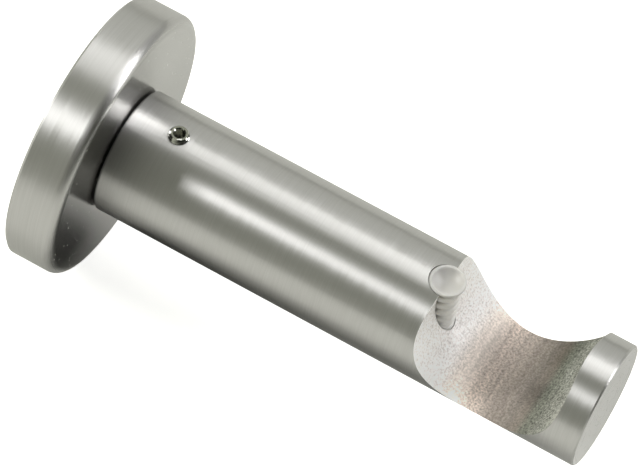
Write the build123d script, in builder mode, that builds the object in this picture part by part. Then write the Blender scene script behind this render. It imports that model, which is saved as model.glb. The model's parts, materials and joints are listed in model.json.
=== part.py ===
"""Curtain pole bracket: a round bar arm on a wall rose, with a half-round seat for the pole.

The wall is the plane y = 0, the arm runs along -Y into the room and the seat opens upwards, +Z.
"""
import os

from build123d import *

# Pole and its seat
pole_diameter = 28.0
seat_clearance = 1.0  # radial room round the pole
projection = 92.5  # from the wall to the axis of the seat
seat_floor = 6.1  # metal left under the seat
lip_wall = 5.4  # metal left between the seat and the arm's free end

# Arm, a solid round bar
arm_diameter = 25.0
shadow_gap = 0.4  # between the arm and the rose
inner_chamfer = 0.4  # round the end at the rose
free_edge_break = 0.3  # round the free end

# Rose, a turned cover that hides the fixing
rose_diameter = 54.5
rose_thickness = 10.0
rose_face_wall = 3.0
rose_rim_wall = 3.0
rose_front_radius = 2.0
rose_back_break = 0.5
rose_inner_chamfer = 1.0
rose_hole_clearance = 0.3  # radial, round the spigot

# Wall plate, inside the rose
plate_thickness = 4.0
plate_clearance = 0.25  # radial, inside the rose's rim
plate_chamfer = 0.6
wall_screw_circle = 34.0
wall_screw_count = 3
wall_screw_hole = 4.5
wall_screw_head = 9.0
wall_screw_angle = 90.0

# Spigot, a turned pin that screws into the plate and enters the arm
spigot_diameter = 12.0
spigot_reach = 22.0  # length inside the arm
spigot_chamfer = 1.0
spigot_clearance = 0.1  # radial, in the arm's bore
bore_end_room = 1.5  # past the spigot's end
tail_diameter = 8.0
tail_setback = 0.3  # tail's end below the back of the plate
collar_diameter = 20.0
collar_flats = 17.0  # across the two spanner flats
thread_clearance = 0.05  # radial, where one thread turns in another

# Grub screw, which holds the arm on the flat of the spigot
grub_diameter = 4.0
grub_length = 8.0
grub_setback = 10.0  # from the arm's inner end
grub_socket = 2.0  # across flats
grub_socket_depth = 2.5
grub_top_chamfer = 0.4
grub_point_chamfer = 0.7
spigot_flat_depth = 0.5
spigot_flat_length = 8.0

# Locking screw, half of which stands in the seat and grips the pole
lock_diameter = 6.0
lock_length = 16.0
lock_head_diameter = 7.0
lock_rim = 0.5  # height of the head's straight edge
lock_cone_angle = 90.0
lock_setdown = 0.1  # top of the head below the arm's top line
lock_exposure = 0.2  # the screw's axis inside the seat's wall line
lock_dish_diameter = 5.8
lock_dish_depth = 1.6
lock_point_chamfer = 1.0
lock_clearance = 0.15  # radial, in its hole
lock_hole_room = 0.5  # past the screw's end

# Places that follow from the sizes above
arm_radius = arm_diameter / 2
arm_start = rose_thickness + shadow_gap
seat_radius = pole_diameter / 2 + seat_clearance
seat_height = seat_floor + seat_radius - arm_radius
arm_end = projection + seat_radius + lip_wall
cavity_depth = rose_thickness - rose_face_wall
cavity_diameter = rose_diameter - 2 * rose_rim_wall
plate_diameter = cavity_diameter - 2 * plate_clearance
spigot_end = arm_start + spigot_reach
spigot_flat_height = spigot_diameter / 2 - spigot_flat_depth
grub_distance = arm_start + grub_setback
grub_top = spigot_flat_height + grub_length
lock_distance = projection - seat_radius + lock_exposure
lock_top = arm_radius - lock_setdown

# The wall, seen from the room: X to the right, Z up, depth measured into the room
wall = Plane(origin=(0, 0, 0), x_dir=(1, 0, 0), z_dir=(0, -1, 0))

os.makedirs("parts", exist_ok=True)

# Wall plate: a disc with countersunk holes and a tapped hole for the spigot
with BuildPart() as wall_plate:
    with BuildSketch(wall):
        Circle(plate_diameter / 2)
    extrude(amount=plate_thickness)
    chamfer(wall_plate.edges().sort_by(Axis.Y)[0], plate_chamfer)
    with Locations(wall.offset(plate_thickness)):
        Hole(tail_diameter / 2 + thread_clearance)
        with PolarLocations(wall_screw_circle / 2, wall_screw_count, start_angle=90):
            CounterSinkHole(
                wall_screw_hole / 2, wall_screw_head / 2, counter_sink_angle=wall_screw_angle
            )

wall_plate.part.label = "wall_plate"
export_step(wall_plate.part, "parts/wall_plate.step")

# Spigot: threaded tail, collar with two flats, and a pin with a flat on top for the grub screw
with BuildPart() as spigot:
    with BuildSketch(wall.offset(tail_setback)):
        Circle(tail_diameter / 2)
    extrude(amount=plate_thickness - tail_setback)
    with BuildSketch(wall.offset(plate_thickness)):
        Circle(collar_diameter / 2)
        Rectangle(collar_diameter, collar_flats, mode=Mode.INTERSECT)
    extrude(amount=cavity_depth - plate_thickness)
    with BuildSketch(wall.offset(cavity_depth)):
        Circle(spigot_diameter / 2)
    extrude(amount=spigot_end - cavity_depth)
    chamfer(spigot.faces().sort_by(Axis.Y)[0].edges(), spigot_chamfer)
    with BuildSketch(Plane((0, -grub_distance, spigot_flat_height))):
        Rectangle(spigot_diameter, spigot_flat_length)
    extrude(amount=spigot_flat_depth, mode=Mode.SUBTRACT)

spigot.part.label = "spigot"
export_step(spigot.part, "parts/spigot.step")

# Rose: a shallow cup with a rounded front edge and a hole for the spigot
with BuildPart() as rose:
    with BuildSketch(wall):
        Circle(rose_diameter / 2)
    extrude(amount=rose_thickness)
    fillet(rose.edges().sort_by(Axis.Y)[0], rose_front_radius)
    chamfer(rose.edges().sort_by(Axis.Y)[-1], rose_back_break)
    with BuildSketch(wall):
        Circle(cavity_diameter / 2)
    extrude(amount=cavity_depth, mode=Mode.SUBTRACT)
    cavity_roof = rose.faces().filter_by(Plane.XZ).sort_by(Axis.Y)[1]
    chamfer(cavity_roof.edges(), rose_inner_chamfer)
    with Locations(wall.offset(rose_thickness)):
        Hole(spigot_diameter / 2 + rose_hole_clearance)

rose.part.label = "rose"
export_step(rose.part, "parts/rose.step")

# Arm: bar, bore for the spigot, tapped hole for the grub screw, pole seat, hole for the locking screw
with BuildPart() as arm:
    with BuildSketch(wall.offset(arm_start)):
        Circle(arm_radius)
    extrude(amount=arm_end - arm_start)
    chamfer(arm.edges().sort_by(Axis.Y)[-1], inner_chamfer)
    chamfer(arm.edges().sort_by(Axis.Y)[0], free_edge_break)
    with BuildSketch(wall.offset(arm_start)):
        Circle(spigot_diameter / 2 + spigot_clearance)
    extrude(amount=spigot_reach + bore_end_room, mode=Mode.SUBTRACT)
    with Locations((0, -grub_distance, arm_radius)):
        Hole(grub_diameter / 2 + thread_clearance, depth=arm_radius)
    with BuildSketch(Plane.YZ):
        with Locations((-projection, seat_height)):
            Circle(seat_radius)
    extrude(amount=arm_diameter, both=True, mode=Mode.SUBTRACT)
    with Locations((0, -lock_distance, lock_top - lock_rim)):
        CounterSinkHole(
            lock_diameter / 2 + lock_clearance,
            lock_head_diameter / 2 + lock_clearance,
            depth=lock_length - lock_rim + lock_hole_room,
            counter_sink_angle=lock_cone_angle,
        )

arm.part.label = "arm"
export_step(arm.part, "parts/arm.step")

# Grub screw: hexagon socket at the top, flat point on the spigot
with BuildPart() as grub_screw:
    with BuildSketch(Plane((0, -grub_distance, spigot_flat_height))):
        Circle(grub_diameter / 2)
    extrude(amount=grub_length)
    chamfer(grub_screw.edges().sort_by(Axis.Z)[-1], grub_top_chamfer)
    chamfer(grub_screw.edges().sort_by(Axis.Z)[0], grub_point_chamfer)
    with BuildSketch(Plane((0, -grub_distance, grub_top))):
        RegularPolygon(grub_socket / 2, side_count=6, major_radius=False)
    extrude(amount=-grub_socket_depth, mode=Mode.SUBTRACT)

grub_screw.part.label = "grub_screw"
export_step(grub_screw.part, "parts/grub_screw.step")

# Locking screw: deeply dished countersunk head, plain thread diameter, chamfered point
lock_profile = Plane(origin=(0, -lock_distance, lock_top), x_dir=(1, 0, 0), z_dir=(0, -1, 0))
with BuildPart() as locking_screw:
    with BuildSketch(Plane((0, -lock_distance, lock_top))):
        Circle(lock_diameter / 2)
    extrude(amount=-lock_length)
    chamfer(locking_screw.edges().sort_by(Axis.Z)[0], lock_point_chamfer)
    with BuildSketch(Plane((0, -lock_distance, lock_top))):
        Circle(lock_head_diameter / 2)
    extrude(amount=-lock_rim)
    with BuildSketch(Plane((0, -lock_distance, lock_top - lock_rim))):
        Circle(lock_head_diameter / 2)
    extrude(amount=-(lock_head_diameter - lock_diameter) / 2, taper=lock_cone_angle / 2)
    with BuildSketch(lock_profile):
        with BuildLine():
            TangentArc((0, -lock_dish_depth), (lock_dish_diameter / 2, 0), tangent=(1, 0))
            Line((lock_dish_diameter / 2, 0), (0, 0))
            Line((0, 0), (0, -lock_dish_depth))
        make_face()
    revolve(axis=Axis((0, -lock_distance, 0), (0, 0, 1)), mode=Mode.SUBTRACT)

locking_screw.part.label = "locking_screw"
export_step(locking_screw.part, "parts/locking_screw.step")
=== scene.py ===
import json
import math

import bpy
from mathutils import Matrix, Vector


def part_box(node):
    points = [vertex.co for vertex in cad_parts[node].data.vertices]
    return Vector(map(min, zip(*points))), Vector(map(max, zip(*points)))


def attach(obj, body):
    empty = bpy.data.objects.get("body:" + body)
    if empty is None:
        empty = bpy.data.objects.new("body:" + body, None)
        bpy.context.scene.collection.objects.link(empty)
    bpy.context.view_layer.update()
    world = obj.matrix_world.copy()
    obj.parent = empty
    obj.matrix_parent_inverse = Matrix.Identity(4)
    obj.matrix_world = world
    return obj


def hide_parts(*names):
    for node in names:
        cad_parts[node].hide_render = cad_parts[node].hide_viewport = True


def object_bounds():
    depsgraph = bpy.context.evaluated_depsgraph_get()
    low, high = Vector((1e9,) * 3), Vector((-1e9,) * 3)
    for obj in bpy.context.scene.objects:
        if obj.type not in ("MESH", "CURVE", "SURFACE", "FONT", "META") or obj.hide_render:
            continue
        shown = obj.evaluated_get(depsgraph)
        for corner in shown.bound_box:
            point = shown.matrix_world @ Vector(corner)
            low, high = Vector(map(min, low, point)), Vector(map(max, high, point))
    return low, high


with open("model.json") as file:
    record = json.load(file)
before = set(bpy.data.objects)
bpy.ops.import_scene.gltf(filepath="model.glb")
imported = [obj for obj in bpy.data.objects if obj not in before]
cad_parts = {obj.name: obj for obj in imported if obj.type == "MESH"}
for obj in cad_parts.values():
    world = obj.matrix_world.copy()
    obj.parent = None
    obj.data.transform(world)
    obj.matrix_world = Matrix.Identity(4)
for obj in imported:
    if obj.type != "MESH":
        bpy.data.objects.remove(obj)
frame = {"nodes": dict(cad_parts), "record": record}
cad_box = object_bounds()
nodes = frame["nodes"]

# Wall plate: a steel disc with three countersunk holes, screwed to the wall before anything else.
# It is faced on a lathe and zinc plated, which leaves fine rings under a mottled, bluish bloom.
zinc_pale = "#C9CBCA"
zinc_blue = "#9EA4AA"
zinc_bloom = 0.0025  # width of a patch of bloom, metres
zinc_satin = (0.26, 0.46)  # roughness of the pale and of the bluish patches
tool_mark = 0.0003  # spacing of the facing tool's rings
tool_mark_height = 0.0000015
tool_mark_breaks = 1.5  # how often a ring fades out on its way round


def linear(hex_colour):
    """An sRGB hex colour as linear red, green, blue and alpha."""
    parts = [int(hex_colour[i : i + 2], 16) / 255 for i in (1, 3, 5)]
    return [p / 12.92 if p <= 0.04045 else ((p + 0.055) / 1.055) ** 2.4 for p in parts] + [1.0]


def add_node(tree, kind, sockets=None, **settings):
    """Adds a node with its settings; a socket takes a value, or a link from another node's output."""
    made = tree.nodes.new(kind)
    for name, value in settings.items():
        setattr(made, name, value)
    for name, value in (sockets or {}).items():
        if isinstance(value, bpy.types.NodeSocket):
            tree.links.new(value, made.inputs[name])
        else:
            made.inputs[name].default_value = value
    return made


def new_finish(name):
    """A new material with one Principled shader: returns the material, its tree and the shader."""
    finish = bpy.data.materials.new(name)
    finish.use_nodes = True
    return finish, finish.node_tree, finish.node_tree.nodes["Principled BSDF"]


def lathe_lines(tree, spacing, breaks):
    """Noise drawn out round the Y axis, as a turning tool or an abrasive belt leaves it.

    Its lines lie spacing apart along the rim and the face alike; more breaks make them shorter.
    """
    place = add_node(tree, "ShaderNodeTexCoord").outputs["Object"]
    flat = add_node(tree, "ShaderNodeVectorMath", {0: place, 1: (1, 0, 1)}, operation="MULTIPLY")
    radius = add_node(tree, "ShaderNodeVectorMath", {0: flat.outputs[0]}, operation="LENGTH")
    heading = add_node(tree, "ShaderNodeVectorMath", {0: flat.outputs[0]}, operation="NORMALIZE")
    depth = add_node(tree, "ShaderNodeSeparateXYZ", {0: place})
    path = add_node(tree, "ShaderNodeMath", {0: depth.outputs["Y"], 1: radius.outputs["Value"]})
    step = add_node(tree, "ShaderNodeMath", {0: path.outputs[0], 1: 1 / spacing}, operation="MULTIPLY")
    along = add_node(tree, "ShaderNodeCombineXYZ", {"Y": step.outputs[0]})
    around = add_node(
        tree, "ShaderNodeVectorMath", {0: heading.outputs[0], "Scale": breaks}, operation="SCALE"
    )
    drawn = add_node(tree, "ShaderNodeVectorMath", {0: around.outputs[0], 1: along.outputs[0]})
    noise = add_node(
        tree, "ShaderNodeTexNoise", {"Vector": drawn.outputs[0], "Scale": 1.0, "Detail": 3.0}
    )
    return noise.outputs[0]


zinc, tree, shader = new_finish("zinc_plated_steel")
place = add_node(tree, "ShaderNodeTexCoord").outputs["Object"]
bloom = add_node(
    tree, "ShaderNodeTexNoise", {"Vector": place, "Scale": 1 / zinc_bloom, "Detail": 4.0}
)
tint = add_node(
    tree,
    "ShaderNodeMix",
    {"Factor": bloom.outputs[0], "A": linear(zinc_pale), "B": linear(zinc_blue)},
    data_type="RGBA",
)
dull = add_node(
    tree,
    "ShaderNodeMapRange",
    {"Value": bloom.outputs[0], "To Min": zinc_satin[0], "To Max": zinc_satin[1]},
)
rings = lathe_lines(tree, tool_mark, tool_mark_breaks)
relief = add_node(tree, "ShaderNodeBump", {"Height": rings, "Distance": tool_mark_height})
tree.links.new(tint.outputs["Result"], shader.inputs["Base Color"])
tree.links.new(dull.outputs[0], shader.inputs["Roughness"])
tree.links.new(relief.outputs[0], shader.inputs["Normal"])
shader.inputs["Metallic"].default_value = 1.0
nodes["wall_plate"].material_slots[0].material = zinc

# Spigot: a turned steel pin with a collar for the spanner, screwed into the wall plate.
# It carries the arm and gets the same zinc plating; nothing of it shows once the arm is on.
nodes["spigot"].material_slots[0].material = zinc

# Rose: a turned stainless steel cup that slips over the plate and hides it.
# It is brushed on the lathe, so the fine scratches run round the rim and in rings on the face.
# A few specks of dust have settled on the face.
brush_pale = "#D2D1D0"
brush_deep = "#BDBCBA"
brush_satin = (0.34, 0.48)  # roughness of the deep and of the pale scratches
brush_spacing = 0.00022  # real scratches are finer; these are as coarse as the picture can show
brush_height = 0.0000012
brush_breaks = 1.6  # how often a scratch fades out on its way round
flat_from = 0.6  # share of Y in its normal from which a surface counts as a flat face


def brushed_stainless(name, face_gloss, stray):
    """Satin stainless: scratches round the Y axis smear reflections across them, not along them.

    face_gloss is the roughness of a flat face as a share of the roughness of the round sides;
    stray is how far single scratches lean out of their ring.
    """
    finish, tree, shader = new_finish(name)
    scratches = lathe_lines(tree, brush_spacing, brush_breaks)
    tint = add_node(
        tree,
        "ShaderNodeMix",
        {"Factor": scratches, "A": linear(brush_deep), "B": linear(brush_pale)},
        data_type="RGBA",
    )
    satin = add_node(
        tree,
        "ShaderNodeMapRange",
        {"Value": scratches, "To Min": brush_satin[0], "To Max": brush_satin[1]},
    )
    facing = add_node(
        tree, "ShaderNodeSeparateXYZ", {0: add_node(tree, "ShaderNodeTexCoord").outputs["Normal"]}
    )
    facing = add_node(tree, "ShaderNodeMath", {0: facing.outputs["Y"]}, operation="ABSOLUTE")
    gloss = add_node(
        tree,
        "ShaderNodeMapRange",
        {"Value": facing.outputs[0], "From Min": flat_from, "To Min": 1.0, "To Max": face_gloss},
    )
    satin = add_node(
        tree, "ShaderNodeMath", {0: satin.outputs[0], 1: gloss.outputs[0]}, operation="MULTIPLY"
    )
    relief = add_node(tree, "ShaderNodeBump", {"Height": scratches, "Distance": brush_height})
    round_y = add_node(tree, "ShaderNodeTangent", direction_type="RADIAL", axis="Y")
    lean = add_node(
        tree, "ShaderNodeMapRange", {"Value": scratches, "To Min": -stray / 2, "To Max": stray / 2}
    )
    lean = add_node(tree, "ShaderNodeCombineXYZ", {"Y": lean.outputs[0]})
    strayed = add_node(tree, "ShaderNodeVectorMath", {0: round_y.outputs[0], 1: lean.outputs[0]})
    tree.links.new(tint.outputs["Result"], shader.inputs["Base Color"])
    tree.links.new(satin.outputs[0], shader.inputs["Roughness"])
    tree.links.new(relief.outputs[0], shader.inputs["Normal"])
    tree.links.new(strayed.outputs[0], shader.inputs["Tangent"])
    shader.inputs["Metallic"].default_value = 1.0
    shader.inputs["Anisotropic"].default_value = 0.9
    shader.inputs["Anisotropic Rotation"].default_value = 0.25  # a quarter turn, across the scratches
    return finish


rose_face_gloss = 0.44
rose_stray = 0.32
dust_pale = "#D4D2CC"
dust_spacing = 0.0018
dust_size = 0.00017  # radius of a speck; the specks show where the face mirrors the dark
dust_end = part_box("rose")[0][1] + 0.0001  # just behind the flat of the face
steel = brushed_stainless("brushed_stainless_rose", rose_face_gloss, rose_stray)
tree = steel.node_tree
shader = tree.nodes["Principled BSDF"]
place = add_node(tree, "ShaderNodeTexCoord").outputs["Object"]
dust = add_node(tree, "ShaderNodeTexVoronoi", {"Vector": place, "Scale": 1 / dust_spacing})
dust = add_node(
    tree,
    "ShaderNodeMath",
    {0: dust.outputs["Distance"], 1: dust_size / dust_spacing},
    operation="LESS_THAN",
)
depth = add_node(tree, "ShaderNodeSeparateXYZ", {0: place})
on_face = add_node(
    tree, "ShaderNodeMath", {0: depth.outputs["Y"], 1: dust_end}, operation="LESS_THAN"
)
dust = add_node(
    tree, "ShaderNodeMath", {0: dust.outputs[0], 1: on_face.outputs[0]}, operation="MULTIPLY"
)
brushed = shader.inputs["Base Color"].links[0].from_socket
dusty = add_node(
    tree,
    "ShaderNodeMix",
    {"Factor": dust.outputs[0], "A": brushed, "B": linear(dust_pale)},
    data_type="RGBA",
)
bare = add_node(tree, "ShaderNodeMath", {0: 1.0, 1: dust.outputs[0]}, operation="SUBTRACT")
tree.links.new(dusty.outputs["Result"], shader.inputs["Base Color"])
tree.links.new(bare.outputs[0], shader.inputs["Metallic"])
nodes["rose"].material_slots[0].material = steel

# Arm: a solid stainless bar, brushed like the rose, that slides on the spigot and is locked there.
# The pole seat is milled across its top and keeps a rough, grainy cut, brownish to grey towards the lip;
# its wall side, which faces the front lamp, is painted near white, and its brown part is painted lighter
# to both sides: painted light.
arm_end_gloss = 0.70
arm_stray = 0.22
arm_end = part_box("arm")[0][1] + 0.00005  # just behind the flat of the free end
seat_middle = next(m["pos_m"] for m in frame["record"]["mounts"] if m["name"] == "pole_seat")
seat_radius = 0.015
seat_edge = seat_radius + 0.00005  # just outside the cut
seat_roughness = 0.7
seat_metal = 0.15  # the rough cut scatters light and hardly mirrors
seat_grain = 0.00042
seat_grain_height = 0.00003
seat_tones_and_painted_light = (  # from the wall side to the lip; the near white at the wall side is painted light
    (0.00, "#FFFBF7"),
    (0.17, "#FFFAF9"),
    (0.29, "#DFD4CD"),
    (0.42, "#B9ACA4"),
    (0.54, "#B7ABA3"),
    (0.61, "#AEA39B"),
    (0.69, "#A59C94"),
    (0.75, "#938A81"),
    (0.82, "#83857A"),
    (0.90, "#96978E"),
    (1.00, "#B0B0A8"),
)
seat_specks = (  # how strongly the grain shows, along the same way
    (0.00, 0.26),
    (0.24, 0.26),
    (0.32, 0.22),
    (0.42, 0.40),
    (0.60, 0.30),
    (0.76, 0.28),
    (0.82, 0.62),
    (1.00, 0.78),
)
noise_low = 0.3  # nearly all of a noise lies between these two
noise_high = 0.7
speck_dark = -1.1  # dark specks go further than light ones
speck_light = 0.9
speck_level = 0.96
streak_width = 0.0011  # the cutter's streaks run along X
streak_draw = 0.06  # their width as a share of their length
streak_dark = -0.17
streak_light = 0.13
pale_end = (0.20, 0.34)  # along the same way, the painted light of the wall side begins to fade and is gone
pale_streaks = 0.15  # share of the streaks that shows in it
seat_sides_painted_light = 7500  # painted light: how fast the brown part is painted lighter to both sides, per square metre
seat_darkest = 0.0015  # where along X it is darkest
sides_end = (0.42, 0.60)  # along the same way, its painted lighter sides begin to fade and are gone
dark_patch_place = (-0.0018, -0.0074, 0)  # a darker patch short of the lip, from the seat's middle
dark_patch_size = (0.0060, 0.0040, 1)  # its half width and half length; it has no height
dark_patch_light = 0.54  # share of the light that its middle gives back
steel = brushed_stainless("brushed_stainless_arm", arm_end_gloss, arm_stray)
tree = steel.node_tree
shader = tree.nodes["Principled BSDF"]
place = add_node(tree, "ShaderNodeTexCoord").outputs["Object"]
offset = add_node(tree, "ShaderNodeVectorMath", {0: place, 1: seat_middle}, operation="SUBTRACT")
across = add_node(
    tree, "ShaderNodeVectorMath", {0: offset.outputs[0], 1: (0, 1, 1)}, operation="MULTIPLY"
)
reach = add_node(tree, "ShaderNodeVectorMath", {0: across.outputs[0]}, operation="LENGTH")
in_seat = add_node(
    tree, "ShaderNodeMath", {0: reach.outputs["Value"], 1: seat_edge}, operation="LESS_THAN"
).outputs[0]
grain = add_node(
    tree,
    "ShaderNodeTexNoise",
    {"Vector": place, "Scale": 1 / seat_grain, "Detail": 2.0, "Roughness": 0.6},
)
spread = add_node(tree, "ShaderNodeSeparateXYZ", {0: offset.outputs[0]})
travel = add_node(
    tree,
    "ShaderNodeMapRange",
    {"Value": spread.outputs["Y"], "From Min": seat_radius, "From Max": -seat_radius},
)
ramps = []
for stops in (
    [(at, linear(tone)) for at, tone in seat_tones_and_painted_light],
    [(at, (share, share, share, 1)) for at, share in seat_specks],
):
    ramp = add_node(tree, "ShaderNodeValToRGB", {0: travel.outputs[0]})
    ramp.color_ramp.interpolation = "EASE"
    while len(ramp.color_ramp.elements) < len(stops):
        ramp.color_ramp.elements.new(1.0)
    for stop, (at, colour) in zip(ramp.color_ramp.elements, stops):
        stop.position = at
        stop.color = colour
    ramps.append(ramp)
tones, strength = ramps
speck = add_node(
    tree,
    "ShaderNodeMapRange",
    {
        "Value": grain.outputs[0],
        "From Min": noise_low,
        "From Max": noise_high,
        "To Min": speck_dark,
        "To Max": speck_light,
    },
)
speck = add_node(
    tree,
    "ShaderNodeMath",
    {0: speck.outputs[0], 1: strength.outputs[0], 2: speck_level},
    operation="MULTIPLY_ADD",
)
speckled = add_node(
    tree,
    "ShaderNodeMix",
    {"Factor": 1.0, "A": tones.outputs[0], "B": speck.outputs[0]},
    data_type="RGBA",
    blend_type="MULTIPLY",
)
drawn = add_node(
    tree, "ShaderNodeVectorMath", {0: place, 1: (streak_draw, 1, 1)}, operation="MULTIPLY"
)
streak = add_node(
    tree, "ShaderNodeTexNoise", {"Vector": drawn.outputs[0], "Scale": 1 / streak_width, "Detail": 1.0}
)
streak = add_node(
    tree,
    "ShaderNodeMapRange",
    {
        "Value": streak.outputs[0],
        "From Min": noise_low,
        "From Max": noise_high,
        "To Min": streak_dark,
        "To Max": streak_light,
    },
)
past_pale = add_node(
    tree,
    "ShaderNodeMapRange",
    {
        "Value": travel.outputs[0],
        "From Min": pale_end[0],
        "From Max": pale_end[1],
        "To Min": pale_streaks,
    },
)
aside = add_node(
    tree, "ShaderNodeMath", {0: spread.outputs["X"], 1: seat_darkest}, operation="SUBTRACT"
)
sides = add_node(
    tree, "ShaderNodeMath", {0: aside.outputs[0], 1: aside.outputs[0]}, operation="MULTIPLY"
)
lighter = add_node(
    tree,
    "ShaderNodeMapRange",
    {
        "Value": travel.outputs[0],
        "From Min": sides_end[1],
        "From Max": sides_end[0],
        "To Max": seat_sides_painted_light,
    },
    interpolation_type="SMOOTHSTEP",
)
streak = add_node(
    tree,
    "ShaderNodeMath",
    {0: sides.outputs[0], 1: lighter.outputs[0], 2: streak.outputs[0]},
    operation="MULTIPLY_ADD",
)
streak = add_node(
    tree,
    "ShaderNodeMath",
    {0: streak.outputs[0], 1: past_pale.outputs[0], 2: 1.0},
    operation="MULTIPLY_ADD",
)
dark_patch = add_node(
    tree, "ShaderNodeVectorMath", {0: offset.outputs[0], 1: dark_patch_place}, operation="SUBTRACT"
)
dark_patch = add_node(
    tree, "ShaderNodeVectorMath", {0: dark_patch.outputs[0], 1: dark_patch_size}, operation="DIVIDE"
)
dark_patch = add_node(tree, "ShaderNodeVectorMath", {0: dark_patch.outputs[0]}, operation="LENGTH")
dark_patch = add_node(
    tree,
    "ShaderNodeMapRange",
    {"Value": dark_patch.outputs["Value"], "To Min": dark_patch_light},
    interpolation_type="SMOOTHSTEP",
)
streak = add_node(
    tree, "ShaderNodeMath", {0: streak.outputs[0], 1: dark_patch.outputs[0]}, operation="MULTIPLY"
)
speckled = add_node(
    tree,
    "ShaderNodeMix",
    {"Factor": 1.0, "A": speckled.outputs["Result"], "B": streak.outputs[0]},
    data_type="RGBA",
    blend_type="MULTIPLY",
    clamp_result=True,
)
metal = add_node(
    tree, "ShaderNodeMapRange", {"Value": in_seat, "To Min": 1.0, "To Max": seat_metal}
)
tree.links.new(metal.outputs[0], shader.inputs["Metallic"])
for name, cut in (("Base Color", speckled.outputs["Result"]), ("Roughness", seat_roughness)):
    brushed = shader.inputs[name].links[0].from_socket
    kind = "RGBA" if name == "Base Color" else "FLOAT"
    mixed = add_node(
        tree, "ShaderNodeMix", {"Factor": in_seat, "A": brushed, "B": cut}, data_type=kind
    )
    tree.links.new(mixed.outputs["Result"], shader.inputs[name])
relief = shader.inputs["Normal"].links[0].from_node
pits = add_node(
    tree,
    "ShaderNodeBump",
    {"Height": grain.outputs[0], "Distance": seat_grain_height, "Strength": in_seat},
)
tree.links.new(relief.outputs[0], pits.inputs["Normal"])
tree.links.new(pits.outputs[0], shader.inputs["Normal"])

# The free end is ground straight across, so its scratches lie along X
depth = add_node(tree, "ShaderNodeSeparateXYZ", {0: place})
at_end = add_node(
    tree, "ShaderNodeMath", {0: depth.outputs["Y"], 1: arm_end}, operation="LESS_THAN"
)
turned = shader.inputs["Tangent"].links[0].from_socket
ground = add_node(
    tree, "ShaderNodeMix", {"Factor": at_end.outputs[0], 4: turned, 5: (1, 0, 0)}, data_type="VECTOR"
)
tree.links.new(ground.outputs[1], shader.inputs["Tangent"])
nodes["arm"].material_slots[0].material = steel

# Grub screw: a bright M4 set screw with a hexagon socket, turned in from above.
# Its flat point bears on the spigot; about a millimetre of thread stands proud of the arm.
grub_low, grub_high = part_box("grub_screw")
grub_place = (0, (grub_low[1] + grub_high[1]) / 2)  # on the arm's top line
grub_point = grub_low[2]
grub_top = grub_high[2]
grub_radius = 0.002
grub_pitch = 0.0007
grub_depth = 0.00038
grub_socket = 0.002  # across flats
grub_socket_depth = 0.0025


def draw_line(name, middle, points):
    """Draws an open line of (radius, height) points beside an upright axis, a vertex at a time."""
    bpy.ops.object.select_all(action="DESELECT")
    bpy.ops.mesh.primitive_plane_add(size=0.001, location=(middle[0], middle[1], 0))
    line = bpy.context.object
    line.name = name
    bpy.ops.object.mode_set(mode="EDIT")
    bpy.ops.mesh.select_all(action="SELECT")
    bpy.ops.mesh.merge(type="CENTER")
    bpy.ops.transform.translate(value=(points[0][0], 0, points[0][1]))
    for before, after in zip(points, points[1:]):
        step = (after[0] - before[0], 0, after[1] - before[1])
        bpy.ops.mesh.extrude_vertices_move(TRANSFORM_OT_translate={"value": step})
    bpy.ops.object.mode_set(mode="OBJECT")
    return line


def wind(line, turns, pitch, steps):
    """Winds a line about its upright axis: a thread for a pitch over 0, a turned shape for 0."""
    screw = line.modifiers.new("wind", "SCREW")
    screw.angle = math.tau
    screw.screw_offset = pitch
    screw.iterations = turns
    screw.steps = screw.render_steps = steps
    screw.use_merge_vertices = True
    screw.merge_threshold = 1e-7
    bpy.ops.object.modifier_apply(modifier=screw.name)
    bpy.ops.object.mode_set(mode="EDIT")
    bpy.ops.mesh.select_all(action="SELECT")
    bpy.ops.mesh.remove_doubles(threshold=1e-6)
    bpy.ops.mesh.normals_make_consistent(inside=False)
    bpy.ops.object.mode_set(mode="OBJECT")


def trim(bottom, top):
    """Cuts the thread that was wound last off flat at both ends and closes it."""
    bpy.ops.object.mode_set(mode="EDIT")
    for height, up in ((top, 1), (bottom, -1)):
        bpy.ops.mesh.select_all(action="SELECT")
        bpy.ops.mesh.bisect(
            plane_co=(0, 0, height),
            plane_no=(0, 0, up),
            use_fill=True,
            clear_outer=True,
            threshold=1e-8,
        )
    bpy.ops.mesh.select_all(action="SELECT")
    bpy.ops.mesh.normals_make_consistent(inside=False)
    bpy.ops.object.mode_set(mode="OBJECT")


def cut_with(piece, tool, how):
    """Cuts, joins or keeps what a second solid shares with the piece, then removes that solid."""
    bpy.ops.object.select_all(action="DESELECT")
    bpy.context.view_layer.objects.active = piece
    piece.select_set(True)
    shaped = piece.modifiers.new("shape", "BOOLEAN")
    shaped.operation = how
    shaped.solver = "EXACT"
    shaped.object = tool
    bpy.ops.object.modifier_apply(modifier=shaped.name)
    bpy.data.objects.remove(tool)


def hexagon(middle, flats, bottom, top):
    """An upright hexagonal plug, for cutting a socket."""
    bpy.ops.object.select_all(action="DESELECT")
    bpy.ops.mesh.primitive_cylinder_add(
        vertices=6,
        radius=flats / math.sqrt(3),
        depth=top - bottom,
        location=(middle[0], middle[1], (top + bottom) / 2),
        rotation=(0, 0, math.radians(30)),
    )
    return bpy.context.object


def settle(piece):
    """Merges what the cuts left split, puts the place into the mesh and shades it between sharp edges."""
    bpy.ops.object.select_all(action="DESELECT")
    bpy.context.view_layer.objects.active = piece
    piece.select_set(True)
    bpy.ops.object.mode_set(mode="EDIT")
    bpy.ops.mesh.select_all(action="SELECT")
    bpy.ops.mesh.remove_doubles(threshold=1e-7)
    bpy.ops.object.mode_set(mode="OBJECT")
    bpy.ops.object.transform_apply(location=True, rotation=True, scale=True)
    bpy.ops.object.shade_smooth_by_angle(angle=math.radians(35))


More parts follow.
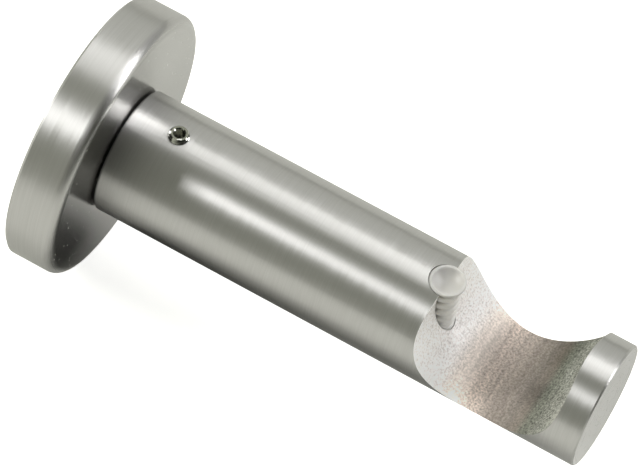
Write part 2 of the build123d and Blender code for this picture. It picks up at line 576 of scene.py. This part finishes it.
crest = grub_radius
root = grub_radius - grub_depth
thread = [
    (root, 0),
    (root, 0.00009),
    (crest, 0.0003),
    (crest, 0.0004),
    (root, 0.00061),
    (root, grub_pitch),
]
start = grub_point - 2 * grub_pitch  # the thread is wound past both ends, then trimmed
grub = draw_line("grub_screw_threaded", grub_place, [(r, z + start) for r, z in thread])
wind(grub, turns=15, pitch=grub_pitch, steps=48)
trim(grub_point, grub_top)
envelope = draw_line(
    "grub_envelope",
    grub_place,
    [
        (0, grub_point - 0.0001),
        (0.0013, grub_point - 0.0001),
        (0.0022, grub_point + 0.0008),
        (0.0022, grub_top - 0.00055),
        (0.00155, grub_top + 0.0001),
        (0, grub_top + 0.0001),
    ],
)
wind(envelope, turns=1, pitch=0, steps=64)
cut_with(grub, envelope, "INTERSECT")
cut_with(
    grub,
    hexagon(grub_place, grub_socket, grub_top - grub_socket_depth, grub_top + 0.001),
    "DIFFERENCE",
)
mouth = draw_line(
    "grub_mouth",
    grub_place,
    [
        (0, grub_top - 0.0003),
        (0.00095, grub_top - 0.0003),
        (0.00145, grub_top + 0.0002),
        (0, grub_top + 0.0002),
    ],
)
wind(mouth, turns=1, pitch=0, steps=48)
cut_with(grub, mouth, "DIFFERENCE")
settle(grub)

# Bright plating gives small, hard reflections, with duller patches between them
plating_pale = "#CDCDC8"
plating_deep = "#B9B9B2"
plating_polish = (0.06, 0.2)  # roughness of the pale and of the duller patches
plating_patch = 0.0006  # width of a duller patch of plating
plating_grain = 0.00012
plating_grain_height = 0.000001
bright, tree, shader = new_finish("bright_plated_steel")
place = add_node(tree, "ShaderNodeTexCoord").outputs["Object"]
patch = add_node(
    tree, "ShaderNodeTexNoise", {"Vector": place, "Scale": 1 / plating_patch, "Detail": 3.0}
)
tint = add_node(
    tree,
    "ShaderNodeMix",
    {"Factor": patch.outputs[0], "A": linear(plating_pale), "B": linear(plating_deep)},
    data_type="RGBA",
)
polish = add_node(
    tree,
    "ShaderNodeMapRange",
    {"Value": patch.outputs[0], "To Min": plating_polish[0], "To Max": plating_polish[1]},
)
grain = add_node(tree, "ShaderNodeTexNoise", {"Vector": place, "Scale": 1 / plating_grain})
relief = add_node(
    tree, "ShaderNodeBump", {"Height": grain.outputs[0], "Distance": plating_grain_height}
)
tree.links.new(tint.outputs["Result"], shader.inputs["Base Color"])
tree.links.new(polish.outputs[0], shader.inputs["Roughness"])
tree.links.new(relief.outputs[0], shader.inputs["Normal"])
shader.inputs["Metallic"].default_value = 1.0
grub.data.materials.append(bright)
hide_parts("grub_screw")
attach(grub, "root")

# Locking screw: a moulded nylon screw with a hollow head, let into the wall side of the seat.
# Half of its coarse thread stands in the seat and bites on the pole.
lock_low, lock_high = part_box("locking_screw")
lock_place = (0, (lock_low[1] + lock_high[1]) / 2)  # on the arm's top line
lock_point = lock_low[2]
lock_top = lock_high[2]
lock_neck = 0.002  # the thread ends this far below the top of the head
lock_pitch = 0.0022
lock_dish = 0.0029  # radius of the dish in the head
lock_dish_depth = 0.0016
thread = [
    (0.00205, 0),
    (0.00215, 0.00010),
    (0.00268, 0.00036),
    (0.00290, 0.00060),
    (0.00300, 0.00100),
    (0.00299, 0.00140),
    (0.00284, 0.00180),
    (0.00228, 0.00210),
    (0.00205, lock_pitch),
]
start = lock_point - 2 * lock_pitch
lock = draw_line("locking_screw_threaded", lock_place, [(r, z + start) for r, z in thread])
wind(lock, turns=12, pitch=lock_pitch, steps=64)
trim(lock_point, lock_top - lock_neck)
hollow = (lock_dish**2 + lock_dish_depth**2) / (2 * lock_dish_depth)  # radius of the dish's arc
dish = [
    (r, lock_top - lock_dish_depth + hollow - math.sqrt(hollow**2 - r**2))
    for r in (0.00285, 0.0027, 0.0025, 0.0022, 0.0018, 0.0014, 0.001, 0.0005, 0)
]
head = draw_line(
    "lock_head",
    lock_place,
    [
        (0, lock_top - 0.003),
        (0.0023, lock_top - 0.003),
        (0.0025, lock_top - 0.0015),
        (0.0031, lock_top - 0.0009),
        (0.0035, lock_top - 0.0005),
        (0.0035, lock_top - 0.00015),
        (0.00343, lock_top - 0.00004),
        (0.0033, lock_top),
        (0.003, lock_top),
    ]
    + dish,
)
wind(head, turns=1, pitch=0, steps=96)
cut_with(lock, head, "UNION")
settle(lock)

# Light goes a little way into natural nylon, which looks milky, with a soft sheen from the mould
nylon_pale = "#F1EFEC"
nylon_deep = "#E5E3DF"
nylon_head_painted_shade = "#C9C7C4"  # painted shade: the head, which the lamps light most, is painted darker than the thread
nylon_head_painted_shade_fade = (0.0022, 0.0016)  # this far below its top the painted shade begins and is full
nylon_sheen = (0.32, 0.5)  # roughness in the mould's fine texture, lowest and highest
nylon_flow = 0.0016  # width of a cloud left by the moulding flow
nylon_skin = 0.00035  # spacing of the mould's fine texture
nylon_skin_height = 0.000004
nylon, tree, shader = new_finish("natural_nylon")
place = add_node(tree, "ShaderNodeTexCoord").outputs["Object"]
cloud = add_node(
    tree, "ShaderNodeTexNoise", {"Vector": place, "Scale": 1 / nylon_flow, "Detail": 3.0}
)
tint = add_node(
    tree,
    "ShaderNodeMix",
    {"Factor": cloud.outputs[0], "A": linear(nylon_pale), "B": linear(nylon_deep)},
    data_type="RGBA",
)
height = add_node(tree, "ShaderNodeSeparateXYZ", {0: place})
at_head = add_node(
    tree,
    "ShaderNodeMapRange",
    {
        "Value": height.outputs["Z"],
        "From Min": lock_top - nylon_head_painted_shade_fade[0],
        "From Max": lock_top - nylon_head_painted_shade_fade[1],
    },
)
tint = add_node(
    tree,
    "ShaderNodeMix",
    {"Factor": at_head.outputs[0], "A": tint.outputs["Result"], "B": linear(nylon_head_painted_shade)},
    data_type="RGBA",
)
skin = add_node(tree, "ShaderNodeTexNoise", {"Vector": place, "Scale": 1 / nylon_skin})
sheen = add_node(
    tree,
    "ShaderNodeMapRange",
    {"Value": skin.outputs[0], "To Min": nylon_sheen[0], "To Max": nylon_sheen[1]},
)
relief = add_node(
    tree, "ShaderNodeBump", {"Height": skin.outputs[0], "Distance": nylon_skin_height}
)
tree.links.new(tint.outputs["Result"], shader.inputs["Base Color"])
tree.links.new(sheen.outputs[0], shader.inputs["Roughness"])
tree.links.new(relief.outputs[0], shader.inputs["Normal"])
shader.inputs["Subsurface Weight"].default_value = 0.4
shader.inputs["Subsurface Radius"].default_value = (1.0, 0.95, 0.85)
shader.inputs["Subsurface Scale"].default_value = 0.003
lock.data.materials.append(nylon)
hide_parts("locking_screw")
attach(lock, "root")

# Studio: a pale floor just under the rose's rim and soft boxes round it, as for a catalogue picture.
# The floor is white to the camera and keeps the bracket's shadow; in what the metal mirrors it also
# carries a painted shade, under and beside the arm, towards its right and where one metal piece mirrors
# it in another.
floor_white = "#ECECE6"
floor_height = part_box("rose")[0][2] - 0.0002  # clear of the rim by a hair
floor_glow = 0.75  # what the camera sees on top of the lamps' light
mirror_glow = 0.05  # and what the metal sees
# Painted shade, which only the metal's reflections see:
shade_left = (-0.046, -0.012)  # along X the shade begins and is full, to the left of the arm
shade_right = (0.006, -0.007)  # and likewise under it, on the side of the key lamp
shade_front = (-0.009, -0.0145)  # along Y it begins at the rose's face
shade_near = 0.93  # how deep it is at the rose
shade_far = 0.40  # and at the free end
painted_dusk_right = 0.25  # how much darker the painted shade makes the floor towards its right
painted_dusk_reach = 0.035  # and how far along X that takes
painted_dusk_twice = 0.72  # how much darker the painted shade makes it where one metal piece mirrors it in another
bpy.ops.object.select_all(action="DESELECT")
bpy.ops.mesh.primitive_plane_add(size=8.0, location=(0, 0, floor_height))
floor = bpy.context.object
floor.name = "floor"
finish, tree, shader = new_finish("studio_floor")
shader.inputs["Roughness"].default_value = 0.9
rays = add_node(tree, "ShaderNodeLightPath")
spot = add_node(
    tree, "ShaderNodeSeparateXYZ", {0: add_node(tree, "ShaderNodeTexCoord").outputs["Object"]}
)
flanks = [
    add_node(
        tree,
        "ShaderNodeMapRange",
        {"Value": spot.outputs["X"], "From Min": none, "From Max": full},
        interpolation_type="SMOOTHSTEP",
    ).outputs[0]
    for none, full in (shade_left, shade_right)
]
across = add_node(tree, "ShaderNodeMath", {0: flanks[0], 1: flanks[1]}, operation="MULTIPLY")
depth = add_node(
    tree,
    "ShaderNodeMapRange",
    {
        "Value": spot.outputs["Y"],
        "From Min": cad_box[1][1],
        "From Max": cad_box[0][1],
        "To Min": shade_near,
        "To Max": shade_far,
    },
)
front = add_node(
    tree,
    "ShaderNodeMapRange",
    {"Value": spot.outputs["Y"], "From Min": shade_front[0], "From Max": shade_front[1]},
)
depth = add_node(
    tree, "ShaderNodeMath", {0: depth.outputs[0], 1: front.outputs[0]}, operation="MULTIPLY"
)
shade = add_node(
    tree, "ShaderNodeMath", {0: across.outputs[0], 1: depth.outputs[0]}, operation="MULTIPLY"
)
painted_dusk = add_node(
    tree,
    "ShaderNodeMapRange",
    {"Value": spot.outputs["X"], "From Min": 0.0, "From Max": painted_dusk_reach, "To Max": painted_dusk_right},
)
twice = add_node(
    tree, "ShaderNodeMath", {0: rays.outputs["Glossy Depth"], 1: 1.5}, operation="GREATER_THAN"
)
twice = add_node(
    tree, "ShaderNodeMath", {0: twice.outputs[0], 1: painted_dusk_twice}, operation="MULTIPLY"
)
for darker in (painted_dusk, twice):
    shade = add_node(
        tree, "ShaderNodeMath", {0: shade.outputs[0], 1: darker.outputs[0]}, operation="MAXIMUM"
    )
shade = add_node(
    tree,
    "ShaderNodeMath",
    {0: shade.outputs[0], 1: rays.outputs["Is Glossy Ray"]},
    operation="MULTIPLY",
)
tint = add_node(
    tree,
    "ShaderNodeMix",
    {"Factor": shade.outputs[0], "A": linear(floor_white), "B": (0, 0, 0, 1)},
    data_type="RGBA",
)
tree.links.new(tint.outputs["Result"], shader.inputs["Base Color"])
seen = add_node(
    tree, "ShaderNodeMath", {0: rays.outputs["Is Camera Ray"], 1: floor_glow}, operation="MULTIPLY"
)
lit = add_node(
    tree,
    "ShaderNodeMath",
    {0: rays.outputs["Is Glossy Ray"], 1: shade.outputs[0]},
    operation="SUBTRACT",
)
glow = add_node(
    tree,
    "ShaderNodeMath",
    {0: lit.outputs[0], 1: mirror_glow, 2: seen.outputs[0]},
    operation="MULTIPLY_ADD",
)
shader.inputs["Emission Color"].default_value = (1, 1, 1, 1)
tree.links.new(glow.outputs[0], shader.inputs["Emission Strength"])
floor.data.materials.append(finish)

# The room beyond the lamps is dark in front of the bracket, bright behind it and a little olive
room_tint = "#FCFFEC"
room_front = (-0.25, 0.03)  # share of Y in the direction, and how bright the room is up to there
room_back = (0.4, 0.57)  # and from there on
world = bpy.data.worlds.new("studio")
bpy.context.scene.world = world
world.use_nodes = True
tree = world.node_tree
heading = add_node(tree, "ShaderNodeTexCoord").outputs["Generated"]
axis = add_node(tree, "ShaderNodeSeparateXYZ", {0: heading})
room = add_node(
    tree,
    "ShaderNodeMapRange",
    {
        "Value": axis.outputs["Y"],
        "From Min": room_front[0],
        "From Max": room_back[0],
        "To Min": room_front[1],
        "To Max": room_back[1],
    },
)
tree.links.new(room.outputs[0], tree.nodes["Background"].inputs["Strength"])
tree.nodes["Background"].inputs["Color"].default_value = linear(room_tint)


def soft_box(name, place, turn, size, level):
    """A rectangular lamp: turn is in degrees, size is width and length, level is its brightness."""
    bpy.ops.object.light_add(
        type="AREA", location=place, rotation=[math.radians(angle) for angle in turn]
    )
    lamp = bpy.context.object
    lamp.name = name
    lamp.data.shape = "RECTANGLE"
    lamp.data.size, lamp.data.size_y = size
    lamp.data.energy = level * math.pi * size[0] * size[1]


soft_box("key_box", (0.36, -0.25, 1.04), (0, 19, 0), (0.56, 0.75), 2.07)
soft_box("back_box", (-0.65, 1.4, 0.89), (0, -36, 0), (0.44, 0.5), 41.0)
soft_box("side_panel", (0.82, 0, 0.38), (0, 65, 0), (0.62, 2.0), 0.37)
soft_box("front_box", (0.62, -1.0, 0.7), (47.5, 41, 0), (0.32, 1.0), 9.6)

# Camera: a long lens above and beside the arm, turned so that the arm falls across the picture.
# Place, turn and lens are fitted to the outlines in the photograph.
camera_place = (-0.48837, -0.22966, 0.76789)
camera_turn = (33.7708, -6.4156, -60.465)  # degrees
camera_lens = 280.17  # millimetres, on a sensor 36 mm wide
camera_sensor = 36.0
bpy.ops.object.camera_add(
    location=camera_place, rotation=[math.radians(angle) for angle in camera_turn]
)
camera = bpy.context.object
camera.data.lens = camera_lens
camera.data.sensor_width = camera_sensor
bpy.context.scene.camera = camera
bpy.context.scene.view_settings.view_transform = "Standard"
